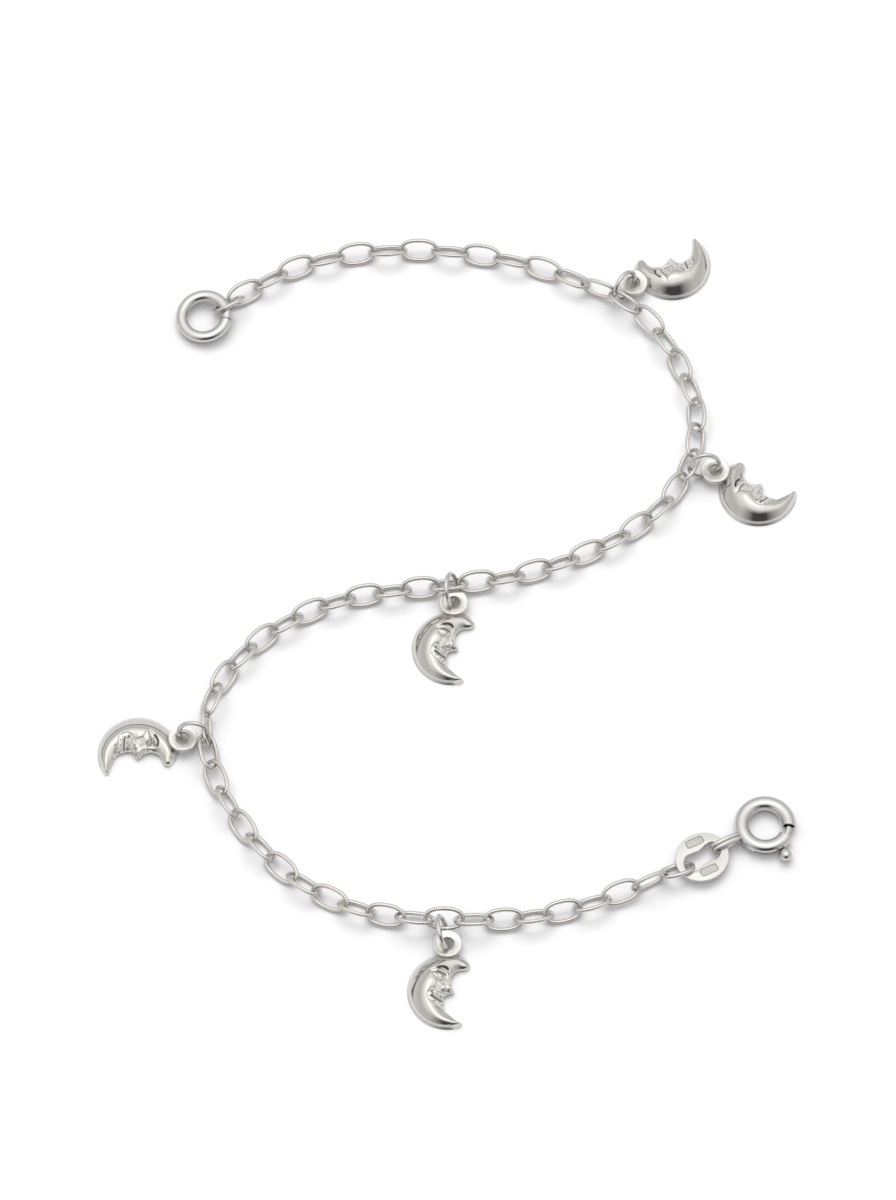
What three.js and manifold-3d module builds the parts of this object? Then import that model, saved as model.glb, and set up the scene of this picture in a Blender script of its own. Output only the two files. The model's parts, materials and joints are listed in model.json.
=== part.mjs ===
// A silver charm bracelet, lying open in an S on a flat surface: an end ring, a fine oval cable
// chain with five crescent-moon charms on jump rings, an oval tag and a spring-ring clasp.
// Millimetres, +Z up. The origin is the middle of its footprint, on the surface that it lies on.

import * as THREE from 'three'
import { mergeVertices } from 'three/addons/utils/BufferGeometryUtils.js'
import Module from 'manifold-3d'

const wasm = await Module()
wasm.setup()

// Chain: oval links of fine wire. Stretches between the charms are plain tubes as wide as a turned link
const LINK_LENGTH = 3.85
const LINK_WIDTH = 2.3
const LINK_WIRE = 0.42
const LINK_PITCH = 2.75 // from one link's middle to the next, on average
const CHAIN_RADIUS = 0.8
const CHAIN_HEIGHT = 0.81
const CHAIN_START = 1.1 // the link number at which the first tube starts, clear of the smooth end link
const TUBE_STEP = 4.2
const TUBE_GAP = 0.35

// The chain's line, through the middle of every second link from the end ring to the tag
const ROUTE = [
  [-19.68, 34.78], [-14.78, 37.49], [-8.99, 39.01], [-2.98, 39.40], [3.03, 38.83], [8.91, 37.41],
  [14.43, 34.94], [19.10, 31.56], [22.02, 26.91], [23.52, 21.63], [22.67, 16.21], [19.70, 11.66],
  [15.38, 8.37], [10.45, 6.07], [5.25, 4.51], [-0.12, 3.69], [-5.44, 3.12], [-10.67, 2.01],
  [-15.51, -0.26], [-19.59, -3.66], [-22.31, -8.19], [-22.54, -13.53], [-20.64, -18.64],
  [-17.54, -23.14], [-13.51, -26.82], [-8.60, -29.25], [-3.26, -30.36], [2.22, -30.53], [7.71, -30.08],
  [13.08, -28.79], [18.21, -26.74],
]

// Each charm: the link that carries it (its number, the height of its middle, its roll in degrees),
// its jump ring (middle and axis), and its moon (middle, turn in degrees)
const CHARMS = [
  {
    link: 14, height: 1.41, roll: -34,
    ring: [16.84, 35.11, 1.61], axis: [-0.76, 0.58, -0.29],
    moon: [21.77, 37.33], turn: 119,
  },
  {
    link: 21, height: 1.07, roll: 37,
    ring: [24.16, 15.87, 1.6], axis: [0.13, -0.94, 0.31],
    moon: [28.85, 13.26], turn: 64.3,
  },
  {
    link: 31, height: 1.0, roll: 40,
    ring: [0.15, 2.98, 1.59], axis: [0.93, -0.12, 0.34],
    moon: [-0.71, -2.37], turn: -5.5,
  },
  {
    link: 43, height: 1.12, roll: -37,
    ring: [-23.89, -11.95, 1.6], axis: [-0.15, -0.94, 0.32],
    moon: [-29.34, -12.47], turn: -76.5,
  },
  {
    link: 54, height: 1.48, roll: 37,
    ring: [-0.64, -31.90, 1.6], axis: [-0.94, -0.12, -0.32],
    moon: [-1.08, -37.18], turn: -2.5,
  },
]
const JUMP_RING = { radius: 1.44, wire: 0.44 }

// Moon charm: a domed crescent with a flat back, seen face up with its loop at the top
const MOON_RIM = { x: 0.88, y: -0.05, radius: 3.75 }
const MOON_RIM_FROM = THREE.MathUtils.degToRad(84)
const MOON_RIM_TO = THREE.MathUtils.degToRad(276)
const MOON_PROFILE = [
  [1.9, -3.6], [2.2, -3.45], [2.33, -3.3], [1.77, -3.02], [1.18, -2.6], [0.83, -2.31], [0.61, -1.85],
  [0.53, -1.28], [0.62, -0.67], [0.83, -0.5], [1.18, -0.4], [1.49, -0.14], [1.24, 0.34], [1.1, 0.74],
  [1.2, 1.34], [1.6, 1.83], [1.95, 1.99], [2.36, 2.03], [2.66, 2.15], [2.82, 2.45], [2.67, 2.88],
  [2.43, 3.18], [2.13, 3.44], [1.74, 3.63],
]
// The dome's section, as radius from the rim's middle and height: from the face, over the crest, to the
// crease at the top of the sloping side
const MOON_DOME = [
  [0, 0.6], [0.5, 0.8], [1, 1.14], [1.5, 1.4], [1.92, 1.53], [2.3, 1.42], [2.7, 1.18], [3.1, 0.86],
  [3.41, 0.55],
]
const MOON_HEIGHT = 1.53
const MOON_SIDE_SLOPE = 0.62 // how far the side goes out for each millimetre down
const MOON_LOOP = { x: 0.65, y: 4.34, radius: 1.35, hole: 0.62, low: 0.58, high: 1.08 }

// End ring: heavy round wire, bent to a ring with a butt seam, its near side propped up on its link
const END_RING = { x: -23.58, y: 32.22, radius: 2.18, wire: 1.2, tilt: 6.5, seam: -12, seamGap: 0.08 }
const END_LINK = { length: 3.4, width: 2.44, wire: 0.42, reach: 2.8, heading: 28, roll: -64, height: 1.1 }

// Tag: a flat oval plate with an S-shaped slot, held up by the link and the eye that pass through it
const TAG = { x: 23.40, y: -24.15, length: 5.15, width: 4.75, turn: 35, low: 0.57, high: 0.97 }
const TAG_SLOT_HALF = [
  [-1.7, -0.55], [-1.45, 0.08], [-0.85, 0.38], [-0.2, 0.7], [0.3, 1.2], [0.9, 1.52], [1.5, 1.25],
]
const TAG_LINK = {
  x: 21.02, y: -25.47, length: 3.6, width: 2.3, wire: 0.45, heading: 17, roll: -40, lift: 0.01,
}

// Spring-ring clasp: a hollow ring with a gap, a sliding bolt inside it and a soldered eye.
// Angles are in degrees about the ring's axis, from +X towards +Y
const CLASP = { x: 29.30, y: -20.84, radius: 2.2, tube: 1.38, bore: 0.82 }
const CLASP_GAP = { from: -31, to: -3 }
const CLASP_SLOT = { from: -112, to: -51, width: 0.54 }
const CLASP_EYE = {
  heading: -153, length: 3.2, height: 1.55, wire: 0.5, breadth: 0.9, reach: 4.08, lift: 0.8,
}
const BOLT = { from: -66, to: 6, wire: 0.54 }
const KNOB = { angle: -58, radius: 0.6, reach: 3.53, stem: 0.32 }

// Facets of the round shapes
const SIDES = 8 // of a fine wire's section
const HEAVY_SIDES = 12 // of a heavy wire's or tube's section
const LINK_BENDS = 14 // around an oval link; no corner falls on the line where it is pulled apart
const JUMP_RING_STEPS = 24
const HEAVY_RING_STEPS = 36
const BOLT_STEPS = 10
const DISC_STEPS = 18
const MOON_RIM_STEPS = 24
const MOON_PROFILE_STEPS = 46
const DOME_STEPS = 28
const SLOT_STEPS = 40

// Vertices closer than this are one when a shape is made a solid
const MERGE_DISTANCE = 1e-5

// A cutting shape stands at least this far past what it cuts
const CUT_PAST = 1

// --- Geometry helpers

// The closed solid of a three.js geometry, for joining and cutting
function solid(geometry) {
  const bare = geometry.clone()
  bare.deleteAttribute('normal')
  bare.deleteAttribute('uv')
  const merged = mergeVertices(bare, MERGE_DISTANCE)
  const mesh = new wasm.Mesh({
    numProp: 3,
    vertProperties: new Float32Array(merged.attributes.position.array),
    triVerts: new Uint32Array(merged.index.array),
  })
  return new wasm.Manifold(mesh)
}

// The three.js geometry of a joined or cut solid
function geometryOf(manifold) {
  const mesh = manifold.getMesh()
  const geometry = new THREE.BufferGeometry()
  geometry.setAttribute('position', new THREE.BufferAttribute(mesh.vertProperties, 3))
  geometry.setIndex(new THREE.BufferAttribute(mesh.triVerts, 1))
  return geometry
}

function polar(radius, degrees) {
  const angle = THREE.MathUtils.degToRad(degrees)
  return new THREE.Vector2(radius * Math.cos(angle), radius * Math.sin(angle))
}

// A ring of round wire about the Z axis
function wireRing(radius, wire, sides, steps) {
  return new THREE.TorusGeometry(radius, wire / 2, sides, steps)
}

// An oval link along X: a wire ring pulled apart at its middle, so that its two rails run straight
function ovalLink(length, width, wire) {
  const geometry = wireRing((width - wire) / 2, wire, SIDES, LINK_BENDS)
  const position = geometry.attributes.position
  for (let i = 0; i < position.count; i++) {
    const x = position.getX(i)
    position.setX(i, x + (Math.sign(x) * (length - width)) / 2)
  }
  return geometry
}

// The pose of something that runs along a heading and is rolled about it
function lying(x, y, z, heading, roll) {
  const angle = THREE.MathUtils.degToRad(heading)
  const lean = THREE.MathUtils.degToRad(roll)
  const along = new THREE.Vector3(Math.cos(angle), Math.sin(angle), 0)
  const left = new THREE.Vector3(-Math.sin(angle), Math.cos(angle), 0)
  const across = left.multiplyScalar(Math.cos(lean)).add(new THREE.Vector3(0, 0, Math.sin(lean)))
  const normal = new THREE.Vector3().crossVectors(along, across)
  return new THREE.Matrix4().makeBasis(along, across, normal).setPosition(x, y, z)
}

// A flat shape, carried up from one height to another
function extruded(shape, low, high, curveSegments) {
  const options = { depth: high - low, bevelEnabled: false, curveSegments }
  return new THREE.ExtrudeGeometry(shape, options).translate(0, 0, low)
}

// A slice of a ring about the Z axis, between two angles and two radii, centred on the XY plane
function sector({ from, to }, inner, outer, height) {
  const shape = new THREE.Shape()
  const start = THREE.MathUtils.degToRad(from)
  const end = THREE.MathUtils.degToRad(to)
  shape.absarc(0, 0, outer, start, end, false)
  shape.absarc(0, 0, inner, end, start, true)
  shape.closePath()
  return extruded(shape, -height / 2, height / 2, SIDES)
}

// --- The pieces, each a named mesh of its own

const bracelet = new THREE.Group()

const FINISHES = {
  polished: { color: 0xdcdad6, roughness: 0.12, metalness: 1 },
  milled: { color: 0xd2d0cc, roughness: 0.28, metalness: 1 },
  satin: { color: 0xd6d5d2, roughness: 0.35, metalness: 1 },
}

function addPiece(name, geometry, finish, pose) {
  const mesh = new THREE.Mesh(geometry, new THREE.MeshStandardMaterial(FINISHES[finish]))
  mesh.name = name
  mesh.applyMatrix4(pose ?? new THREE.Matrix4())
  bracelet.add(mesh)
}

// Chain: the route by link number, the tubes between the charms, and the links that carry them

const routePoints = ROUTE.map(([x, y]) => new THREE.Vector3(x, y, CHAIN_HEIGHT))
const line = new THREE.CatmullRomCurve3(routePoints, false, 'catmullrom', 0.5)
const LAST_LINK = 2 * ROUTE.length - 1

function onRoute(link) {
  return line.getPoint((link - 1) / (LAST_LINK - 1))
}

function headingAt(link) {
  const tangent = line.getTangent((link - 1) / (LAST_LINK - 1))
  return THREE.MathUtils.radToDeg(Math.atan2(tangent.y, tangent.x))
}

// The link number at a distance along the route from a link, forwards or backwards
function linkNumberAt(link, distance) {
  const pitch = onRoute(link + 0.5).distanceTo(onRoute(link - 0.5))
  return link + distance / pitch
}

function chainRun(from, to) {
  const count = Math.round(((to - from) * LINK_PITCH) / TUBE_STEP)
  const samples = []
  for (let i = 0; i <= count; i++) {
    samples.push(onRoute(from + ((to - from) * i) / count))
  }
  const corners = []
  for (let i = 0; i < SIDES; i++) {
    corners.push(polar(CHAIN_RADIUS / Math.cos(Math.PI / SIDES), ((i + 0.5) * 360) / SIDES))
  }
  const extrudePath = new THREE.CatmullRomCurve3(samples)
  const options = { steps: count, bevelEnabled: false, extrudePath }
  return new THREE.ExtrudeGeometry(new THREE.Shape(corners), options)
}

const clear = LINK_LENGTH / 2 + TUBE_GAP
let runStart = CHAIN_START
for (const [i, charm] of [...CHARMS, null].entries()) {
  const runEnd = charm ? linkNumberAt(charm.link, -clear) : LAST_LINK
  addPiece(`chain_run_${i + 1}`, chainRun(runStart, runEnd), 'milled')
  if (charm) runStart = linkNumberAt(charm.link, clear)
}

for (const [i, charm] of CHARMS.entries()) {
  const { x, y } = onRoute(charm.link)
  const pose = lying(x, y, charm.height, headingAt(charm.link), charm.roll)
  addPiece(`charm_link_${i + 1}`, ovalLink(LINK_LENGTH, LINK_WIDTH, LINK_WIRE), 'milled', pose)
}

// Jump rings

for (const [i, charm] of CHARMS.entries()) {
  const axis = new THREE.Vector3(...charm.axis).normalize()
  const turn = new THREE.Quaternion().setFromUnitVectors(new THREE.Vector3(0, 0, 1), axis)
  const pose = new THREE.Matrix4().makeRotationFromQuaternion(turn).setPosition(...charm.ring)
  const ring = wireRing(JUMP_RING.radius, JUMP_RING.wire, SIDES, JUMP_RING_STEPS)
  addPiece(`jump_ring_${i + 1}`, ring, 'polished', pose)
}

// Moon charms: the crescent's outline cut to the dome of its rim and the fall towards its horns,
// with the loop's flat disc soldered to its top

function moonOutline() {
  const { x, y, radius } = MOON_RIM
  const rim = new THREE.EllipseCurve(x, y, radius, radius, MOON_RIM_FROM, MOON_RIM_TO)
  const face = new THREE.SplineCurve(MOON_PROFILE.map(([px, py]) => new THREE.Vector2(px, py)))
  return new THREE.Shape([...rim.getPoints(MOON_RIM_STEPS), ...face.getPoints(MOON_PROFILE_STEPS)])
}

// The dome reaches past the back, so that only its top and its sloping side shape the charm
function moonDome() {
  const [creaseRadius, creaseHeight] = MOON_DOME.at(-1)
  const foot = creaseRadius + MOON_SIDE_SLOPE * (creaseHeight + CUT_PAST)
  const profile = [[0, -CUT_PAST], [foot, -CUT_PAST], ...MOON_DOME.toReversed()]
  const dome = new THREE.LatheGeometry(profile.map(([r, z]) => new THREE.Vector2(r, z)), DOME_STEPS)
  dome.rotateX(Math.PI / 2)
  dome.rotateZ(MOON_RIM_FROM)
  return dome.translate(MOON_RIM.x, MOON_RIM.y, 0)
}

function moonCharm() {
  const slab = extruded(moonOutline(), 0, MOON_HEIGHT + CUT_PAST)
  const { x, y, radius, hole, low, high } = MOON_LOOP
  const disc = new THREE.Shape().absarc(x, y, radius, 0, 2 * Math.PI)
  const bore = new THREE.CylinderGeometry(hole, hole, 2 * MOON_HEIGHT, DISC_STEPS)
  bore.rotateX(Math.PI / 2)
  bore.translate(x, y, 0)
  const crescent = solid(slab).intersect(solid(moonDome()))
  const withLoop = crescent.add(solid(extruded(disc, low, high, DISC_STEPS)))
  return geometryOf(withLoop.subtract(solid(bore)))
}

const moon = moonCharm()
for (const [i, { moon: [x, y], turn }] of CHARMS.entries()) {
  addPiece(`moon_charm_${i + 1}`, moon.clone(), 'polished', lying(x, y, 0, turn, 0))
}

// End ring and the smooth link on it

function endRing() {
  const ring = wireRing(END_RING.radius, END_RING.wire, HEAVY_SIDES, HEAVY_RING_STEPS)
  const seam = new THREE.BoxGeometry(END_RING.radius, END_RING.seamGap, 2 * END_RING.wire)
  seam.translate(END_RING.radius, 0, 0)
  seam.rotateZ(THREE.MathUtils.degToRad(END_RING.seam - END_LINK.heading))
  return geometryOf(solid(ring).subtract(solid(seam)))
}

const tilt = THREE.MathUtils.degToRad(END_RING.tilt)
const endRingHeight = END_RING.wire / 2 + END_RING.radius * Math.sin(tilt)
const endRingPose = lying(END_RING.x, END_RING.y, endRingHeight, END_LINK.heading, 0)
endRingPose.multiply(new THREE.Matrix4().makeRotationY(-tilt))
addPiece('end_ring', endRing(), 'polished', endRingPose)

const endLinkMiddle = polar(END_LINK.reach, END_LINK.heading).add(END_RING)
const endLinkPose = lying(
  endLinkMiddle.x, endLinkMiddle.y, END_LINK.height, END_LINK.heading, END_LINK.roll,
)
addPiece('end_link', ovalLink(END_LINK.length, END_LINK.width, END_LINK.wire), 'polished', endLinkPose)

// Tag and its link

function tagPlate() {
  const outline = new THREE.Shape()
  const turn = THREE.MathUtils.degToRad(TAG.turn)
  outline.absellipse(0, 0, TAG.length / 2, TAG.width / 2, 0, 2 * Math.PI, false, turn)
  const half = TAG_SLOT_HALF.map(([x, y]) => new THREE.Vector3(x, y, 0))
  const otherHalf = half.map((point) => point.clone().negate())
  const edge = new THREE.CatmullRomCurve3([...half, ...otherHalf], true)
  const slotPoints = edge.getPoints(SLOT_STEPS).map(({ x, y }) => new THREE.Vector2(x, y))
  slotPoints.pop() // the last one repeats the first
  outline.holes.push(new THREE.Path(slotPoints))
  return extruded(outline, TAG.low, TAG.high, DISC_STEPS)
}

addPiece('tag', tagPlate(), 'satin', lying(TAG.x, TAG.y, 0, 0, 0))

// The link's lower rail all but touches the surface
const tagLinkSpread = (TAG_LINK.width - TAG_LINK.wire) / 2
const tagLinkRise = tagLinkSpread * Math.sin(THREE.MathUtils.degToRad(-TAG_LINK.roll))
const tagLinkHeight = TAG_LINK.lift + TAG_LINK.wire / 2 + tagLinkRise
const tagLinkPose = lying(TAG_LINK.x, TAG_LINK.y, tagLinkHeight, TAG_LINK.heading, TAG_LINK.roll)
addPiece('tag_link', ovalLink(TAG_LINK.length, TAG_LINK.width, TAG_LINK.wire), 'polished', tagLinkPose)

// Spring-ring clasp

function claspEye() {
  const eye = ovalLink(CLASP_EYE.length, CLASP_EYE.height, CLASP_EYE.wire)
  eye.scale(1, 1, CLASP_EYE.breadth / CLASP_EYE.wire)
  const { x, y } = polar(CLASP_EYE.reach, CLASP_EYE.heading)
  return eye.applyMatrix4(lying(x, y, CLASP_EYE.lift - CLASP.tube / 2, CLASP_EYE.heading + 180, 90))
}

function claspBody() {
  const { radius, tube, bore } = CLASP
  const shell = solid(wireRing(radius, tube, HEAVY_SIDES, HEAVY_RING_STEPS)).add(solid(claspEye()))
  const hollow = solid(wireRing(radius, bore, HEAVY_SIDES, HEAVY_RING_STEPS))
  const gap = solid(sector(CLASP_GAP, radius - tube, radius + tube, 2 * tube))
  const slot = solid(sector(CLASP_SLOT, radius, radius + tube, CLASP_SLOT.width))
  return geometryOf(shell.subtract(hollow).subtract(gap).subtract(slot))
}

function boltAndKnob() {
  const points = []
  for (let i = 0; i <= BOLT_STEPS; i++) {
    const { x, y } = polar(CLASP.radius, BOLT.from + ((BOLT.to - BOLT.from) * i) / BOLT_STEPS)
    points.push(new THREE.Vector3(x, y, 0))
  }
  const section = new THREE.Shape().absarc(0, 0, BOLT.wire / 2, 0, 2 * Math.PI)
  const extrudePath = new THREE.CatmullRomCurve3(points)
  const options = { steps: BOLT_STEPS, curveSegments: SIDES / 2, bevelEnabled: false, extrudePath }
  const bolt = new THREE.ExtrudeGeometry(section, options)
  const stemLength = KNOB.reach - CLASP.radius
  const stem = new THREE.CylinderGeometry(KNOB.stem / 2, KNOB.stem / 2, stemLength, SIDES)
  stem.rotateZ(Math.PI / 2)
  stem.translate(CLASP.radius + stemLength / 2, 0, 0)
  const knob = new THREE.SphereGeometry(KNOB.radius, DISC_STEPS, HEAVY_SIDES)
  knob.translate(KNOB.reach, 0, 0)
  const turn = THREE.MathUtils.degToRad(KNOB.angle)
  const handle = solid(stem.rotateZ(turn)).add(solid(knob.rotateZ(turn)))
  return geometryOf(solid(bolt).add(handle))
}

const claspPose = lying(CLASP.x, CLASP.y, CLASP.tube / 2, 0, 0)
addPiece('clasp_body', claspBody(), 'polished', claspPose)
addPiece('clasp_trigger', boltAndKnob(), 'polished', claspPose)

export default bracelet
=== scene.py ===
import json
import math
from functools import partial

import bmesh
import bpy
import numpy as np
from mathutils import Euler, Matrix, Vector


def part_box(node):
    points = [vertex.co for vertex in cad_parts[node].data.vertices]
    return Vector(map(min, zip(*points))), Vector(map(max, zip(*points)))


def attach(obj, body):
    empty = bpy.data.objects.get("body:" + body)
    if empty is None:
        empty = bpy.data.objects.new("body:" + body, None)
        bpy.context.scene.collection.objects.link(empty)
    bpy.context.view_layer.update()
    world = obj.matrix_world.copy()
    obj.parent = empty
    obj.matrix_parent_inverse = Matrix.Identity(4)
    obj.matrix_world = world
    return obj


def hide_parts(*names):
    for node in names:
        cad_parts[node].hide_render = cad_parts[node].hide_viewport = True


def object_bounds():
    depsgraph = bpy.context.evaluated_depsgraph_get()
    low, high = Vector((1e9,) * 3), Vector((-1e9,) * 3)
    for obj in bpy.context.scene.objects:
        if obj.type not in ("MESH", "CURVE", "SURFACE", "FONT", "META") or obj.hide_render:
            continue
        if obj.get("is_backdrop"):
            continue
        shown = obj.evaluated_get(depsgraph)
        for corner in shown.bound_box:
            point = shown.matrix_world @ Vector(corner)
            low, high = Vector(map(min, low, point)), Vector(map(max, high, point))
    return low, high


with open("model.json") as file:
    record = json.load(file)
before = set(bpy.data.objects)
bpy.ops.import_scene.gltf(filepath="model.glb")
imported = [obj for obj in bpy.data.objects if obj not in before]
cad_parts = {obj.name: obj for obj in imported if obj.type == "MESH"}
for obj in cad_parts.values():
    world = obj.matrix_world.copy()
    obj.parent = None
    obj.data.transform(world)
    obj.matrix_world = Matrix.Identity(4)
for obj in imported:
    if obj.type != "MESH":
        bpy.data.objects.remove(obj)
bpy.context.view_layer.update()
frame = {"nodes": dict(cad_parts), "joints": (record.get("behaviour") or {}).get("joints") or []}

# --- The surface, the light and the camera
# The bracelet lies on a sheet of smooth white card inside a white light tent. Polished silver shows what
# stands around it: a bright roof and back, softer sides, and the dark opening of the tent low in front.

MM = 0.001
CAMERA_ELEVATION = math.radians(65)
CAMERA_DISTANCE = 700 * MM
VIEW_HEIGHT = 113.28 * MM
VIEW_MIDDLE = Vector((-0.18, 2.58, 0)) * MM
SENSOR_HEIGHT = 36
CARD_SIZE = 3.0
CARD_WHITE = "#f7f7f8"
# Coarser than a real card's tooth, which is too fine to show
CARD_TOOTH = 0.6 * MM
# How bright the tent is at each height, from level with the card to straight overhead
TENT_LEVELS = [
    (0.0, 0.3), (0.05, 0.14), (0.12, 0.95), (0.24, 0.82),
    (0.48, 0.75), (0.7, 1.12), (0.91, 1.36), (1.0, 1.95),
]
# The dark opening in front: its middle, how far to each side it is dark and has faded out, how far forward
# it starts, and the heights over which it fades upwards
OPENING_MIDDLE = 0.08
OPENING_SIDES = (0.25, 0.72)
OPENING_FRONT = -0.3
OPENING_TOP = (0.62, 0.82)
OPENING_GREY = "#525254"
BACKDROP_WHITE = "#f1f1f2"
# The card is lit less by the tent than by the lamp behind it, so the lamp's soft shadows show
CARD_FILL = 0.66
LAMP = {"place": (-0.15, 1.1, 1.65), "width": 2.1, "depth": 1.1, "watts": 23.0}


def linear(hex_colour):
    """The linear colour of an sRGB hex one."""
    channels = [int(hex_colour[i : i + 2], 16) / 255 for i in (1, 3, 5)]
    light = [c / 12.92 if c <= 0.04045 else ((c + 0.055) / 1.055) ** 2.4 for c in channels]
    return (*light, 1.0)


def add_node(tree, kind, sockets=(), **settings):
    """A new node with its settings, and its sockets set to values or linked from other nodes.

    The sockets are named or numbered, or listed from the first. A node given for one stands for its first
    output. A map range's 1 to 4 are the ends it maps from and to, and a colour mix's 6 and 7 its colours.
    """
    node = tree.nodes.new(kind)
    for name, value in settings.items():
        setattr(node, name, value)
    for name, value in (sockets if isinstance(sockets, dict) else dict(enumerate(sockets))).items():
        if isinstance(value, bpy.types.Node):
            value = value.outputs[0]
        if isinstance(value, bpy.types.NodeSocket):
            tree.links.new(value, node.inputs[name])
        else:
            node.inputs[name].default_value = value
    return node


def new_material(name):
    """A material with an empty tree, what adds a node to it, and the tree's Object coordinates."""
    material = bpy.data.materials.new(name)
    material.use_nodes = True
    material.node_tree.nodes.clear()
    add = partial(add_node, material.node_tree)
    return material, add, add("ShaderNodeTexCoord").outputs["Object"]


def finish_material(add, sockets):
    """Ends a material's tree with its Principled shader, given that shader's sockets."""
    add("ShaderNodeOutputMaterial", {"Surface": add("ShaderNodeBsdfPrincipled", sockets)})


def show(name, data):
    """An object for a mesh, a curve, a camera or a light, in the scene, at the origin."""
    piece = bpy.data.objects.new(name, data)
    bpy.context.scene.collection.objects.link(piece)
    return piece


camera_data = bpy.data.cameras.new("camera")
camera_data.sensor_fit = "VERTICAL"
camera_data.sensor_height = SENSOR_HEIGHT
camera_data.lens = SENSOR_HEIGHT * CAMERA_DISTANCE / VIEW_HEIGHT
camera_data.clip_start = 0.01
camera = show("camera", camera_data)
towards_camera = Vector((0, -math.cos(CAMERA_ELEVATION), math.sin(CAMERA_ELEVATION)))
camera.location = VIEW_MIDDLE + CAMERA_DISTANCE * towards_camera
camera.rotation_euler = (math.pi / 2 - CAMERA_ELEVATION, 0, 0)
bpy.context.scene.camera = camera


def white_card():
    """Matt white card: nearly white all over, with a faint tooth that only shows close up."""
    material, add, place = new_material("smooth_white_card")
    tooth = add("ShaderNodeTexNoise", {"Vector": place, "Scale": 1 / CARD_TOOTH})
    bump = add("ShaderNodeBump", {"Height": tooth, "Distance": 0.004 * MM})
    matt = {"Roughness": 0.9, "Specular IOR Level": 0.1}
    finish_material(add, {"Base Color": linear(CARD_WHITE), "Normal": bump, **matt})
    return material


half = CARD_SIZE / 2
card_mesh = bpy.data.meshes.new("white_card")
corners = [(-half, -half, 0), (half, -half, 0), (half, half, 0), (-half, half, 0)]
card_mesh.from_pydata(corners, [], [(0, 1, 2, 3)])
card_mesh.materials.append(white_card())
show("white_card", card_mesh)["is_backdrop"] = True


def light_tent():
    """The tent as a world: brightness by direction, and a plain pale backdrop for the camera."""
    world = bpy.data.worlds.new("light_tent")
    world.use_nodes = True
    world.node_tree.nodes.clear()
    add = partial(add_node, world.node_tree)
    direction = add("ShaderNodeTexCoord").outputs["Generated"]
    parts = add("ShaderNodeSeparateXYZ", [direction]).outputs
    roof = add("ShaderNodeValToRGB", {"Fac": parts["Z"]})
    ramp = roof.color_ramp.elements
    for height, level in TENT_LEVELS:
        stop = ramp.new(height) if 0 < height < 1 else ramp[-1 if height else 0]
        stop.color = (level, level, level, 1)
    aside = add("ShaderNodeMath", [parts["X"], OPENING_MIDDLE], operation="SUBTRACT")
    off_axis = add("ShaderNodeMath", [aside], operation="ABSOLUTE")
    inner, outer = OPENING_SIDES
    middle = add("ShaderNodeMapRange", {"Value": off_axis, 1: inner, 2: outer, 3: 1.0, 4: 0.0})
    front = add("ShaderNodeMath", [parts["Y"], OPENING_FRONT], operation="LESS_THAN")
    dark_to, clear_from = OPENING_TOP
    low = add("ShaderNodeMapRange", {"Value": parts["Z"], 1: clear_from, 2: dark_to, 3: 0.0, 4: 1.0})
    ahead = add("ShaderNodeMath", [middle, front], operation="MULTIPLY")
    opening = add("ShaderNodeMath", [ahead, low], operation="MULTIPLY")
    tent = add("ShaderNodeMix", {0: opening, 6: roof, 7: linear(OPENING_GREY)}, data_type="RGBA")
    ray = add("ShaderNodeLightPath").outputs
    fill = add("ShaderNodeMapRange", {"Value": ray["Diffuse Depth"], 3: 1.0, 4: CARD_FILL})
    around = add("ShaderNodeBackground", {"Color": tent.outputs[2], "Strength": fill})
    backdrop = add("ShaderNodeBackground", {"Color": linear(BACKDROP_WHITE), "Strength": 1.0})
    mixed = add("ShaderNodeMixShader", [ray["Is Camera Ray"], around, backdrop])
    add("ShaderNodeOutputWorld", {"Surface": mixed})
    return world


bpy.context.scene.world = light_tent()
view = bpy.context.scene.view_settings
view.view_transform = "Standard"
view.look = "None"
view.exposure = 0.0

lamp_data = bpy.data.lights.new("back_light", "AREA")
lamp_data.shape = "RECTANGLE"
lamp_data.size = LAMP["width"]
lamp_data.size_y = LAMP["depth"]
lamp_data.energy = LAMP["watts"]
lamp = show("back_light", lamp_data)
lamp.location = LAMP["place"]
lamp.visible_glossy = False
lamp.rotation_euler = (-Vector(LAMP["place"])).to_track_quat("-Z", "Y").to_euler()

# --- The chain
# Sixty-one oval links of fine sterling wire, each milled with a close row of cuts all round before it was
# bent, threaded through the last and soldered. They lie on alternate edges; five carry the charms.

# The chain's line on the card, through the middle of every second link from the end ring to the tag
ROUTE = [
    (-19.68, 34.78), (-14.78, 37.49), (-8.99, 39.01), (-2.98, 39.4), (3.05, 38.83), (8.96, 37.39),
    (14.5, 34.89), (19.1, 31.56), (22.02, 26.91), (23.52, 21.63), (22.67, 16.21), (19.7, 11.66),
    (15.38, 8.37), (10.45, 6.07), (5.25, 4.51), (-0.12, 3.69), (-5.44, 3.12), (-10.67, 2.01),
    (-15.51, -0.26), (-19.59, -3.66), (-22.31, -8.19), (-22.54, -13.53), (-20.64, -18.64),
    (-17.54, -23.14), (-13.51, -26.82), (-8.6, -29.25), (-3.26, -30.36), (2.22, -30.53),
    (7.71, -30.08), (13.14, -28.77), (18.5, -26.63),
]
LAST_LINK = 2 * len(ROUTE) - 1
CHARM_LINKS = {link: f"charm_link_{i}" for i, link in enumerate((14, 21, 31, 43, 54), start=1)}
# A link's cuts are rounded ridges: so many round it, so deep, each drawn in so many steps along the wire
LINK_SIZES = {
    "Length": 3.87 * MM, "Width": 2.3 * MM, "Wire": 0.41 * MM, "Breadth": 0.41 * MM, "Squareness": 2.3,
    "Ridges": 54, "Ridge Steps": 3, "Ridge Depth": 0.011 * MM, "Sides": 10,
}
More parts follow.
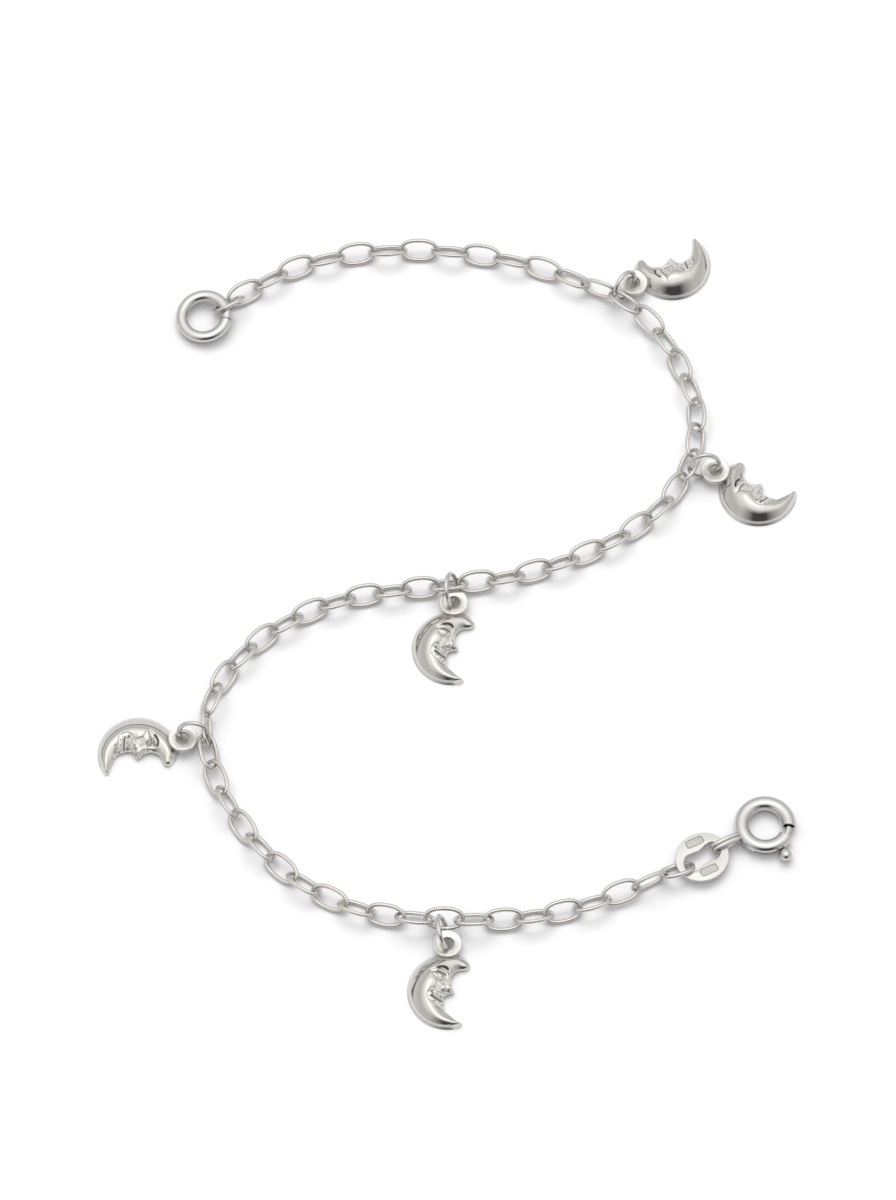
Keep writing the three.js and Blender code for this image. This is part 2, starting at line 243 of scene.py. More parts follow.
# Each silver has two tones; the milled one's are for the crests and for the cuts, where the darker tone is
# painted shade
MILLED_CREST_AND_CUT_SHADE = (linear("#dfdcd7"), linear("#a8a49f"))
MILL_DRAG = 0.08 * MM
# Degrees that a link leans from flat, to one side and the other in turn; past the fourth charm they swap
LEAN = 40
LEAN_BEYOND = 35
LEAN_SWAPS_AT = 43
LEAN_EXCEPTIONS = {45: -50, 46: 33, 47: -45, 48: 28}
# Links pulled over by what hangs beside them: degrees of lean, pitch and yaw, mm of lift, links along
PULLED = {
    12: (-29.9, 1.7, -1.8, 0.19, -0.01), 13: (77.3, 3.2, 8.9, 0.14, -0.07), 15: (44.4, -0.2, 0.5, 0.38, 0),
    30: (-40.3, 0.6, 0.5, 0.16, 0), 41: (44.4, 0.7, -1.1, 0.16, 0.01), 42: (109.5, -7.0, 5.9, 0.04, 0.1),
    44: (29.4, -0.2, -0.1, 0.15, 0), 53: (-41.0, 0.1, -0.1, 0.34, 0), 55: (-40.7, -0.4, 0.1, 0.33, 0),
    60: (36.2, 1.9, -2.0, 0.31, 0), 61: (-92.5, -0.9, 3.0, 0.0, 0),
}
# The share of a charm link's lift that the links one and two places from it take
LIFT_SHARES = {1: 0.45, 2: 0.1}
# The first charm's link sits a hair aside in its ring: degrees about its own axes, and mm
EASED = {14: ((0.8, 2.5, -3.9), (-0.05, 0.09, -0.02))}


def geometry_tree(name, sizes):
    """A Geometry Nodes tree with inputs for the places, each size and the finish, and what adds to it."""
    tree = bpy.data.node_groups.new(name, "GeometryNodeTree")
    kinds = {label: "Int" if isinstance(value, int) else "Float" for label, value in sizes.items()}
    for label, kind in {"Places": "Geometry", **kinds, "Finish": "Material"}.items():
        tree.interface.new_socket(name=label, in_out="INPUT", socket_type=f"NodeSocket{kind}")
    tree.interface.new_socket(name="Pieces", in_out="OUTPUT", socket_type="NodeSocketGeometry")
    add = partial(add_node, tree)
    return tree, add, add("NodeGroupInput").outputs


def place_copies(add, given, shape):
    """Ends a tree: its shape at each place, turned as the place says, made real and given its finish."""
    turn = add("GeometryNodeInputNamedAttribute", {"Name": "turn"}, data_type="FLOAT_VECTOR")
    rotation = add("FunctionNodeEulerToRotation", [turn])
    turned = {"Points": given["Places"], "Instance": shape, "Rotation": rotation}
    copies = add("GeometryNodeInstanceOnPoints", turned)
    real = add("GeometryNodeRealizeInstances", {"Geometry": copies})
    smooth = add("GeometryNodeSetShadeSmooth", {"Geometry": real})
    finished = add("GeometryNodeSetMaterial", {"Geometry": smooth, "Material": given["Finish"]})
    add("NodeGroupOutput", {"Pieces": finished})


def evaluated_mesh(piece):
    """The plain mesh that a piece's curve or modifiers make."""
    bpy.context.view_layer.update()
    return bpy.data.meshes.new_from_object(piece.evaluated_get(bpy.context.evaluated_depsgraph_get()))


def grown(name, tree, places, sizes, finish):
    """A piece with the plain mesh that a tree makes at its places: pairs of a point and Euler angles."""
    start = bpy.data.meshes.new(name)
    start.from_pydata([point for point, turn in places], [], [])
    turns = start.attributes.new("turn", "FLOAT_VECTOR", "POINT")
    turns.data.foreach_set("vector", [angle for point, turn in places for angle in turn])
    piece = show(name, start)
    modifier = piece.modifiers.new("shape", "NODES")
    modifier.node_group = tree
    values = {**sizes, "Finish": finish}
    for item in tree.interface.items_tree:
        if item.in_out == "INPUT" and item.name in values:
            modifier[item.identifier] = values[item.name]
    piece.data = evaluated_mesh(piece)
    piece.modifiers.clear()
    piece.data.name = name
    return piece


def link_tree(sizes):
    """An oval of wire: a ring squared off a little and pulled long, its surface cut into ridges."""
    tree, add, given = geometry_tree("oval_link", sizes)
    ring = add("GeometryNodeCurvePrimitiveCircle", {"Resolution": 96, "Radius": 1.0})
    point = add("GeometryNodeInputPosition")
    around = add("ShaderNodeSeparateXYZ", [point]).outputs
    power = add("ShaderNodeMath", [2.0, given["Squareness"]], operation="DIVIDE")
    reach = {}
    for axis, size in (("X", "Length"), ("Y", "Width")):
        middle_line = add("ShaderNodeMath", [given[size], given["Wire"]], operation="SUBTRACT")
        half_size = add("ShaderNodeMath", [middle_line, 0.5], operation="MULTIPLY")
        span = add("ShaderNodeMath", [around[axis]], operation="ABSOLUTE")
        eased = add("ShaderNodeMath", [span, power], operation="POWER")
        side = add("ShaderNodeMath", [around[axis]], operation="SIGN")
        signed = add("ShaderNodeMath", [eased, side], operation="MULTIPLY")
        reach[axis] = add("ShaderNodeMath", [signed, half_size], operation="MULTIPLY")
    oval_point = add("ShaderNodeCombineXYZ", reach)
    oval = add("GeometryNodeSetPosition", {"Geometry": ring, "Position": oval_point})
    steps = add("ShaderNodeMath", [given["Ridges"], given["Ridge Steps"]], operation="MULTIPLY")
    even = add("GeometryNodeResampleCurve", {"Curve": oval, "Count": steps}, mode="COUNT")
    # A cut is deepest where the distance along the wire is a whole number of ridges
    along = add("GeometryNodeSplineParameter").outputs["Factor"]
    turns = add("ShaderNodeMath", [along, given["Ridges"]], operation="MULTIPLY")
    phase = add("ShaderNodeMath", [turns, 2 * math.pi], operation="MULTIPLY")
    wave = add("ShaderNodeMath", [phase], operation="COSINE")
    raised = add("ShaderNodeMath", [wave, 0.5, 0.5], operation="MULTIPLY_ADD")
    cut = add("ShaderNodeMath", [raised, 2.0], operation="POWER")
    # The same share later sets how much painted shade darkens the wire in its cuts
    mark = {"Geometry": even, "Name": "cut", "Value": cut}
    marked = add("GeometryNodeStoreNamedAttribute", mark, data_type="FLOAT", domain="POINT")
    section = add("GeometryNodeCurvePrimitiveCircle", {"Resolution": given["Sides"], "Radius": 0.5})
    thickness = add("ShaderNodeCombineXYZ", {"X": given["Wire"], "Y": given["Breadth"], "Z": 1.0})
    sized = add("GeometryNodeTransform", {"Geometry": section, "Scale": thickness})
    wire = add("GeometryNodeCurveToMesh", {"Curve": marked, "Profile Curve": sized})
    cut_here = add("GeometryNodeInputNamedAttribute", {"Name": "cut"}, data_type="FLOAT")
    depth = add("ShaderNodeMath", [cut_here, given["Ridge Depth"]], operation="MULTIPLY")
    outward = add("GeometryNodeInputNormal")
    deep = add("ShaderNodeVectorMath", {0: outward, "Scale": depth}, operation="SCALE")
    inward = add("ShaderNodeVectorMath", {0: deep, "Scale": -1.0}, operation="SCALE")
    milled = add("GeometryNodeSetPosition", {"Geometry": wire, "Offset": inward})
    place_copies(add, given, milled)
    return tree


oval_link = link_tree(LINK_SIZES)


def finish_silver(add, share, tones, rough, **sockets):
    """Ends a silver's material: metal all over, in two tones mixed by a share."""
    colour = add("ShaderNodeMix", {0: share, 6: tones[0], 7: tones[1]}, data_type="RGBA").outputs[2]
    finish_material(add, {"Base Color": colour, "Metallic": 1.0, "Roughness": rough, **sockets})


def milled_silver():
    """Sterling wire milled with fine cuts: bright on the crests, and darker down in the cuts with painted
    shade.
    """
    material, add, place = new_material("milled_sterling_wire")
    cut = add("ShaderNodeAttribute", attribute_name="cut").outputs["Fac"]
    drag = add("ShaderNodeTexNoise", {"Vector": place, "Scale": 1 / MILL_DRAG, "Detail": 2.0})
    rough = add("ShaderNodeMapRange", {"Value": drag, 3: 0.14, 4: 0.26})
    bump = add("ShaderNodeBump", {"Height": drag, "Distance": 0.006 * MM, "Strength": 0.5})
    # The cut's depth mixes in the darker tone: painted shade in the cuts
    finish_silver(add, cut, MILLED_CREST_AND_CUT_SHADE, rough, Normal=bump)
    return material


MILLED = milled_silver()


def curve_point(before, start, end, after, t):
    """The point a share t of the way from start to end, on one smooth curve through all four."""
    bend = 2 * before - 5 * start + 4 * end - after
    twist = 3 * start - before - 3 * end + after
    return start + 0.5 * (t * (end - before) + t**2 * bend + t**3 * twist)


route = [Vector(place) for place in ROUTE]
route = [2 * route[0] - route[1], *route, 2 * route[-1] - route[-2]]


def on_route(link):
    """The point of the chain's line at a link number, in metres."""
    at = min((link - 1) / 2, len(ROUTE) - 1.000001)
    first = int(at)
    return curve_point(*route[first : first + 4], at - first) * MM


def lean_of(link):
    """How far a link leans from flat, in degrees."""
    if link in PULLED:
        return PULLED[link][0]
    if link in LEAN_EXCEPTIONS:
        return LEAN_EXCEPTIONS[link]
    odd = link % 2 == 1
    if link < LEAN_SWAPS_AT:
        return LEAN if odd else -LEAN
    return -LEAN if odd else LEAN_BEYOND


def spread_axes(node):
    """A CAD node's middle, and the directions that its corners spread along, longest first."""
    low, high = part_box(node)
    corners = np.array([vertex.co for vertex in frame["nodes"][node].data.vertices])
    axes = np.linalg.svd(corners - corners.mean(0), full_matrices=False)[2]
    return (low + high) / 2, [Vector(axis) for axis in axes]


def resting_height(link):
    """How high a link's middle is when its lower rail lies on the card."""
    half_width = (LINK_SIZES["Width"] - LINK_SIZES["Wire"]) / 2
    return half_width * abs(math.sin(math.radians(lean_of(link)))) + LINK_SIZES["Wire"] / 2


def turned_by(degrees):
    """The turn about a piece's own three axes, by an angle in degrees for each."""
    return Euler([math.radians(angle) for angle in degrees]).to_matrix()


def link_place(link):
    """A link's middle and Euler angles: on the line, leaning on its lower rail, and lifted by charms."""
    ahead = (on_route(link + 0.5) - on_route(link - 0.5)).normalized()
    angle = math.atan2(ahead.y, ahead.x)
    if link in CHARM_LINKS:
        middle, (along, across, _) = spread_axes(CHARM_LINKS[link])
        along = along if along.xy.dot(ahead) > 0 else -along
        across = across if across.xy.dot(Vector((-ahead.y, ahead.x))) > 0 else -across
        turn = Matrix((along, across, along.cross(across))).transposed()
        degrees, aside = EASED.get(link, ((0, 0, 0), (0, 0, 0)))
        return middle + Vector(aside) * MM, (turn @ turned_by(degrees)).to_euler()
    lean = math.radians(lean_of(link))
    height = resting_height(link)
    if link in PULLED:
        pitch, yaw, lift, moved = PULLED[link][1:]
        turn = Euler((lean, math.radians(-pitch), angle + math.radians(yaw)))
        return on_route(link + moved).to_3d() + Vector((0, 0, height + lift * MM)), turn
    for step, share in LIFT_SHARES.items():
        for other in (link - step, link + step):
            if other in CHARM_LINKS:
                low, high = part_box(CHARM_LINKS[other])
                height += share * max(0, (low.z + high.z) / 2 - resting_height(other))
    return on_route(link).to_3d() + Vector((0, 0, height)), Euler((lean, 0, angle))


runs = [[]]
for number in range(1, LAST_LINK + 1):
    if number in CHARM_LINKS:
        runs.append([])
    else:
        runs[-1].append(number)

for i, numbers in enumerate(runs, start=1):
    places = [link_place(number) for number in numbers]
    links = grown(f"chain_links_{i}", oval_link, places, LINK_SIZES, MILLED)
    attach(links, "bracelet")
    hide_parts(f"chain_run_{i}")

for number, node in CHARM_LINKS.items():
    link = grown(f"{node}_milled", oval_link, [link_place(number)], LINK_SIZES, MILLED)
    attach(link, "bracelet")
    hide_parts(node)

# --- The jump rings
# Small rings of plain round wire, one to each charm. Each was cut from a coil, hooked through its link
# and its charm's loop, and pressed shut, so a hairline seam is left.

JUMP_RING = {
    "Radius": 1.44 * MM, "Wire": 0.44 * MM, "Start": 270.0, "Sweep": 359.0, "Steps": 72, "Sides": 14,
}
# The share of the wire's radius that is rubbed off at a cut end's edge
CUT_EASING = 0.08
POLISHED_TONES = (linear("#c5c3c0"), linear("#cfcdca"))
# Real hairlines are too fine to show, so these are coarser
HAIRLINES = 0.9 * MM
HAND_WAVES = 1.4 * MM


def ring_tree(sizes):
    """A ring of round wire about Z, open where its cut ends meet, with their edges a little rounded."""
    tree, add, given = geometry_tree("wire_ring", sizes)
    start = add("ShaderNodeMath", [given["Start"]], operation="RADIANS")
    sweep = add("ShaderNodeMath", [given["Sweep"]], operation="RADIANS")
    round_z = {"Resolution": given["Steps"], "Radius": given["Radius"]}
    arc = add("GeometryNodeCurveArc", {**round_z, "Start Angle": start, "Sweep Angle": sweep})
    along = add("GeometryNodeSplineParameter").outputs["Factor"]
    from_middle = add("ShaderNodeMath", [along, 0.5], operation="SUBTRACT")
    span = add("ShaderNodeMath", [from_middle], operation="ABSOLUTE")
    at_end = add("ShaderNodeMath", [span, 0.4999], operation="GREATER_THAN")
    radius = add("ShaderNodeMath", [at_end, -CUT_EASING, 1.0], operation="MULTIPLY_ADD")
    eased = add("GeometryNodeSetCurveRadius", {"Curve": arc, "Radius": radius})
    half_wire = add("ShaderNodeMath", [given["Wire"], 0.5], operation="MULTIPLY")
    section = add("GeometryNodeCurvePrimitiveCircle", {"Resolution": given["Sides"], "Radius": half_wire})
    wire = add("GeometryNodeCurveToMesh", {"Curve": eased, "Profile Curve": section, "Fill Caps": True})
    place_copies(add, given, wire)
    return tree


def polished_silver():
    """Hand-polished sterling: mirror bright, with faint hairlines and handwork's slight unevenness."""
    material, add, place = new_material("polished_sterling_silver")
    wear = add("ShaderNodeTexNoise", {"Vector": place, "Scale": 1 / HAIRLINES, "Detail": 3.0})
    rough = add("ShaderNodeMapRange", {"Value": wear, 3: 0.05, 4: 0.13})
    uneven = add("ShaderNodeTexNoise", {"Vector": place, "Scale": 1 / HAND_WAVES, "Detail": 1.0})
    bump = add("ShaderNodeBump", {"Height": uneven, "Distance": 0.03 * MM, "Strength": 0.5})
    finish_silver(add, wear, POLISHED_TONES, rough, Normal=bump)
    return material


POLISHED = polished_silver()
wire_ring = ring_tree(JUMP_RING)

for i in range(1, 6):
    middle, axes = spread_axes(f"jump_ring_{i}")
    turn = axes[2].to_track_quat("Z", "Y").to_euler()
    ring = grown(f"jump_ring_wire_{i}", wire_ring, [(middle, turn)], JUMP_RING, POLISHED)
    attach(ring, "bracelet")
    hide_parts(f"jump_ring_{i}")

# --- The moon charms
# Solid cast sterling crescents with an old man-in-the-moon's face in profile: a domed body on a sloping
# side, polished bright, its eye, nose and mouth chased sharper by hand. A flat loop is soldered on top.

# All in millimetres, with the crescent upright and its face to the right
RIM_MIDDLE = (0.88, -0.05)
RIM_RADIUS = 3.75
# The back's outline from the lower horn's tip: round the rim, and up the face, to the upper horn's tip
LOWER_HORN = [(2.32, -3.24), (2.29, -3.37), (2.15, -3.49), (1.9, -3.6)]
UPPER_HORN = [(1.74, 3.63), (2.13, 3.44), (2.43, 3.18), (2.67, 2.88), (2.8, 2.62), (2.82, 2.45)]
PROFILE = [
    (2.32, -3.24), (2.19, -3.11), (1.77, -2.92), (1.18, -2.53), (0.83, -2.24), (0.61, -1.85), (0.53, -1.28),
    (0.54, -0.96), (0.62, -0.67), (0.83, -0.5), (1.18, -0.4), (1.39, -0.29), (1.49, -0.14), (1.39, 0.06),
    (1.24, 0.34), (1.1, 0.74), (1.12, 1.1), (1.2, 1.34), (1.36, 1.6), (1.6, 1.83), (1.95, 1.99),
    (2.36, 2.03), (2.66, 2.15), (2.82, 2.45),
]
# The sloping side's breadth and height, the face edge's height, and how steeply the dome rises between;
# where the crescent is narrower than the taper, towards its horns, the side narrows with it
SIDE = 0.34
SIDE_HEIGHT = 0.55
FACE_HEIGHT = 0.62
DOME_RISE = 0.66
SIDE_TAPER = 1.1
# Where the crescent is narrow, crease and face are lower: the widths over which they rise. Then where the
# ridge runs across it, how much nearer the face that is at the horns, and how round the ridge's sides are
CREASE_RISE = 0.2
FACE_RISE = 0.9
RIDGE_SHARE = 0.52
RIDGE_SHIFT = 0.1
OUTER_ROUNDNESS = 1.6
INNER_ROUNDNESS = 1.45
# How far in from the rim the relief is full, the radius at the face's edge, and how thin the edges get
RELIEF_FADE = 0.6
EDGE_ROUNDING = 0.14
THIN_RIM = 0.06
THIN_FACE_EDGE = 0.08
# The mesh: ribs from rim to face, points on a rib, those on its side, and rounds of smoothing
RIBS = 260
ROWS = 76
SIDE_ROWS = 4
SMOOTHINGS = 50
# How far each charm is turned as it lies, in degrees
MOON_TURNS = [119, 64.3, -5.5, -76.5, -2.5]
# The flat loop: its middle, and its section as (radius, height), once round from the hole's lower edge
LOOP_MIDDLE = (0.65, 4.34)
LOOP_SECTION = [
    (0.66, 0.58), (1.31, 0.58), (1.35, 0.62), (1.35, 1.03),
    (1.3, 1.08), (0.7, 1.08), (0.62, 1.02), (0.62, 0.64),
]
LOOP_STEPS = 64
# How far the loop and the sloping side are left as cast, from 0, fully polished, to 1
LOOP_CAST = 0.62
SIDE_CAST = 0.5
CAST_TONES = (linear("#cbc8c3"), linear("#e6e3de"))
# Dark oxide for the grain's pits, and painted shade for the chased lines and the mouth's pit
OXIDE_AND_PAINTED_SHADE = linear("#4a4743")
CAST_GRAIN = 0.12 * MM
CAST_PITS = 0.24 * MM
CAST_WAVES = 2.2 * MM


def smooth_line(points, count):
    """Evenly stepped points of a smooth line through some points."""
    given = np.array(points, float)
    padded = np.vstack([2 * given[0] - given[1], given, 2 * given[-1] - given[-2]])
    at = np.linspace(0, len(given) - 1, 12 * count)
    first = np.minimum(at.astype(int), len(given) - 2)
    fine = curve_point(*(padded[first + i] for i in range(4)), (at - first)[:, None])
    length = np.append(0, np.cumsum(np.linalg.norm(np.diff(fine, axis=0), axis=1)))
    even = np.linspace(0, length[-1], count)
    return np.column_stack([np.interp(even, length, fine[:, axis]) for axis in (0, 1)])


def distance_to(line, x, y):
    """Distance from each of many points to the nearest point of a line."""
    nearest = np.full(x.shape, 1e9)
    for px, py in line:
        nearest = np.minimum(nearest, (x - px) ** 2 + (y - py) ** 2)
    return np.sqrt(nearest)


rim_arc = [
    (RIM_MIDDLE[0] + RIM_RADIUS * math.cos(angle), RIM_MIDDLE[1] + RIM_RADIUS * math.sin(angle))
    for angle in np.radians(np.arange(276, 83, -12))
]
outer_edge = smooth_line(LOWER_HORN + rim_arc + UPPER_HORN, RIBS)
face_edge = smooth_line(PROFILE, RIBS)


def dome_height(x, y):
    """Height of the moon's bare body: a sloping side up to a crease, a crest, and down to the face."""
    from_rim = distance_to(outer_edge, x, y)
    from_face = distance_to(face_edge, x, y)
    width = from_rim + from_face
    crease = SIDE_HEIGHT * (1 - np.exp(-width / CREASE_RISE))
    face = FACE_HEIGHT * (1 - np.exp(-width / FACE_RISE))
    side = SIDE * np.minimum(1, width / SIDE_TAPER)
    ridge = width * (RIDGE_SHARE + RIDGE_SHIFT * np.exp(-width / FACE_RISE))
    crest = crease + DOME_RISE * (ridge - side)
    out = np.clip((from_rim - side) / np.maximum(ridge - side, 1e-6), 0, 1)
    inward = np.clip(from_face / np.maximum(width - ridge, 1e-6), 0, 1)
    outer = crease + (crest - crease) * (1 - (1 - out) ** OUTER_ROUNDNESS)
    inner = face + (crest - face) * (1 - (1 - inward) ** INNER_ROUNDNESS)
    height = np.where(from_rim < ridge, outer, inner)
    return np.where(from_rim < side, crease * from_rim / np.maximum(side, 1e-6), height)


def chased(x, y, points, width):
    """How strongly a chased line shows at each point, from 1 on the line to 0 a few widths away."""
    return np.exp(-((distance_to(smooth_line(points, 60), x, y) / width) ** 2))


def sunk(x, y, points, softness):
    """1 inside a closed outline, 0 outside, with a soft edge."""
    ring = smooth_line(points + points[:1], 90)
    inside = np.zeros(x.shape, bool)
    for (ax, ay), (bx, by) in zip(ring[:-1], ring[1:]):
        crosses = (ay > y) != (by > y)
        with np.errstate(divide="ignore", invalid="ignore"):
            where = ax + (y - ay) * (bx - ax) / (by - ay)
        inside ^= crosses & (x < where)
    signed = np.where(inside, 1, -1) * distance_to(ring, x, y)
    return 1 / (1 + np.exp(-signed / (0.3 * softness)))


def spot(x, y, middle, long, wide):
    """A soft oval bump about a middle, 1 at its top."""
    return np.exp(-(((x - middle[0]) / long) ** 2) - ((y - middle[1]) / wide) ** 2)


# The hollows that are left as cast, for the eye, the cheek's fold and the mouth: depth, softness, outline
HOLLOWS = [
    (0.1, 0.06, [
        (-0.86, 1.58), (-0.47, 1.02), (-0.18, 0.78), (0.3, 0.8), (0.77, 0.99), (0.97, 1.35), (0.86, 1.81),
        (0.59, 2.03), (0.24, 2.06), (-0.12, 1.93), (-0.47, 1.78),
    ]),
    (0.09, 0.08, [
        (-0.18, 0.78), (0.35, 0.85), (0.8, 1.0), (1.4, 1.0), (1.6, 0.3), (1.8, -0.2),
        (1.4, -0.5), (0.3, -0.45), (-0.24, -0.38), (-0.3, -0.09), (-0.15, 0.28),
    ]),
    (0.13, 0.07, [
        (-0.65, -0.19), (-0.35, -0.1), (-0.18, -0.37), (0.3, -0.46), (0.72, -0.54), (0.8, -0.93),
        (0.8, -1.83), (0.86, -2.43), (0.24, -1.93), (-0.35, -1.61), (-0.65, -1.51), (-0.95, -1.21),
        (-1.0, -0.64),
    ]),
]
# Soft forms: height, middle, half length, half breadth. The lid stands in the eye's hollow; the others are
# under the eye and at the nostril's wing. The mouth's corner is a pit, darkened with painted shade
EYELID = (0.16, (0.12, 1.62), 0.5, 0.17)
FORMS = [(0.08, (0.22, 1.12), 0.35, 0.14), (0.11, (0.58, -0.1), 0.17, 0.14)]
MOUTH_CORNER = (0.12, (-0.54, -0.52), 0.13, 0.11)
MOUTH_CORNER_SHADE = 0.8
# Raised rolls, down the nose and along each lip: height, breadth, line
ROLLS = [
    (0.12, 0.15, [(0.9, 1.31), (0.84, 0.8), (0.84, 0.4), (1.08, 0.0)]),
    (0.09, 0.13, [(-0.59, -0.74), (-0.12, -0.85), (0.41, -0.98)]),
    (0.08, 0.14, [(-0.47, -1.24), (0.0, -1.44), (0.47, -1.52)]),
]
# Chased lines, for brow, lid, nostril, mouth and chin: depth, breadth, darkness of the painted shade in
# it, that shade's breadth, line
CHASED_LINES = [
    (0.11, 0.07, 1.0, 0.075, [(-0.15, 1.9), (0.3, 2.02), (0.65, 1.97), (0.84, 1.83)]),
    (0.08, 0.05, 0.8, 0.04, [
        (-0.62, 1.39), (-0.24, 1.35), (0.0, 1.39), (0.3, 1.37), (0.53, 1.33), (0.71, 1.22),
    ]),
    (0.05, 0.05, 0.5, 0.04, [(0.27, -0.31), (0.59, -0.3), (0.95, -0.31), (1.22, -0.4)]),
    (0.09, 0.055, 1.0, 0.05, [(-0.62, -0.93), (-0.18, -1.1), (0.41, -1.25)]),
    (0.05, 0.05, 0.5, 0.04, [(-0.12, -1.92), (0.24, -2.05), (0.53, -2.18)]),
]


def face_relief(x, y):
    """What the face adds to the dome's height, how much of each place is as cast, and its painted shade."""
    hollows = [sunk(x, y, outline, softness) for depth, softness, outline in HOLLOWS]
    corner = spot(x, y, *MOUTH_CORNER[1:])
    raised = EYELID[0] * spot(x, y, *EYELID[1:]) * hollows[0]
    for height, *form in FORMS:
        raised += height * spot(x, y, *form)
    for height, breadth, line in ROLLS:
        raised += height * chased(x, y, line, breadth)
    lowered = MOUTH_CORNER[0] * corner
    for (depth, softness, outline), hollow in zip(HOLLOWS, hollows):
        lowered += depth * hollow
    dark = MOUTH_CORNER_SHADE * corner
    for depth, breadth, darkness, dark_breadth, line in CHASED_LINES:
        lowered += depth * chased(x, y, line, breadth)
        dark += darkness * chased(x, y, line, dark_breadth)
    return raised - lowered, np.clip(sum(hollows), 0, 1), np.clip(dark, 0, 1)


def on_ribs(shares):
    """The x and the y of each place that is a share of the way along its rib, from rim to face."""
    return [outer_edge[:, axis, None] + shares * (face_edge - outer_edge)[:, axis, None] for axis in (0, 1)]


def rib_shares():
    """Where each rib's points are, as shares of its length, with the side's points in its first part."""
    steps = np.linspace(0, 1, 160)
    gap = distance_to(outer_edge, *on_ribs(steps))
    breadth = SIDE * np.minimum(1, np.linalg.norm(face_edge - outer_edge, axis=1) / SIDE_TAPER)
    side = np.array([np.interp(b, np.maximum.accumulate(g), steps) for b, g in zip(breadth, gap)])
    # Evened out over seven ribs, so that the crease runs smoothly round the horns
    side = np.minimum(np.convolve(np.pad(side, 3, "edge"), np.ones(7) / 7, "valid"), 0.4)[:, None]
    across = np.linspace(0, 1, ROWS - SIDE_ROWS + 1)
    return np.hstack([side * np.linspace(0, 1, SIDE_ROWS, endpoint=False), side + (1 - side) * across])


def moon_body():
    """The crescent's closed mesh, in millimetres: ribs from rim to face, over the top and back under."""
    x, y = on_ribs(rib_shares())
    relief, cast, dark = face_relief(x, y)
    z = dome_height(x, y)
    dome = z[:, SIDE_ROWS:]
    for _ in range(SMOOTHINGS):
        dome[1:-1, 1:-1] = 0.5 * dome[1:-1, 1:-1] + 0.125 * (
            dome[:-2, 1:-1] + dome[2:, 1:-1] + dome[1:-1, :-2] + dome[1:-1, 2:]
        )
    z += relief * np.clip(distance_to(outer_edge, x, y) / RELIEF_FADE, 0, 1)
    z[:, :SIDE_ROWS] = z[:, SIDE_ROWS, None] * np.linspace(0, 1, SIDE_ROWS, endpoint=False)
    edge = np.clip(1 - distance_to(face_edge, x, y) / EDGE_ROUNDING, 0, 1)
    z = np.maximum(z - EDGE_ROUNDING * (1 - np.sqrt(1 - edge**2)), THIN_FACE_EDGE)
    z[:, 0] = THIN_RIM
    cast[:, :SIDE_ROWS] = SIDE_CAST
    body = bmesh.new()
    cast_layer = body.verts.layers.float.new("as_cast")
    # The painted shade of the chased lines and the mouth's pit, kept on each point
    line_shade_layer = body.verts.layers.float.new("painted_line_shade")
    grid = []
    for i in range(RIBS):
        rib = [body.verts.new((*outer_edge[i], 0))]
        for j in range(x.shape[1]):
            rib.append(body.verts.new((x[i, j], y[i, j], z[i, j])))
            rib[-1][cast_layer] = cast[i, j]
            rib[-1][line_shade_layer] = dark[i, j]
        for part in (0.66, 0.33, 0.0):
            rib.append(body.verts.new((*face_edge[i], part * z[i, -1])))
        grid.append(rib)
    for rib, next_rib in zip(grid[:-1], grid[1:]):
        for j in range(len(rib)):
            k = (j + 1) % len(rib)
            body.faces.new((rib[j], rib[k], next_rib[k], next_rib[j]))
    bmesh.ops.remove_doubles(body, verts=body.verts, dist=1e-4)
    bmesh.ops.holes_fill(body, edges=body.edges, sides=0)
    return body


def closed_mesh(shape, name):
    """The mesh of a worked shape, with points that meet joined and its normals facing out."""
    bmesh.ops.remove_doubles(shape, verts=shape.verts, dist=1e-4)
    bmesh.ops.recalc_face_normals(shape, faces=shape.faces)
    mesh = bpy.data.meshes.new(name)
    shape.to_mesh(mesh)
    shape.free()
    return mesh


def add_loop(body):
    """Adds the flat loop to the crescent's mesh: its section turned about a vertical line."""
    cast_layer = body.verts.layers.float["as_cast"]
    rings = []
    for i in range(LOOP_STEPS):
        angle = 2 * math.pi * i / LOOP_STEPS
        c, s = math.cos(angle), math.sin(angle)
        rings.append([
            body.verts.new((LOOP_MIDDLE[0] + r * c, LOOP_MIDDLE[1] + r * s, h)) for r, h in LOOP_SECTION
        ])
        for vertex in rings[-1]:
            vertex[cast_layer] = LOOP_CAST
    for here, there in zip(rings, rings[1:] + rings[:1]):
        for j in range(len(LOOP_SECTION)):
            k = (j + 1) % len(LOOP_SECTION)
            body.faces.new((here[j], there[j], there[k], here[k]))


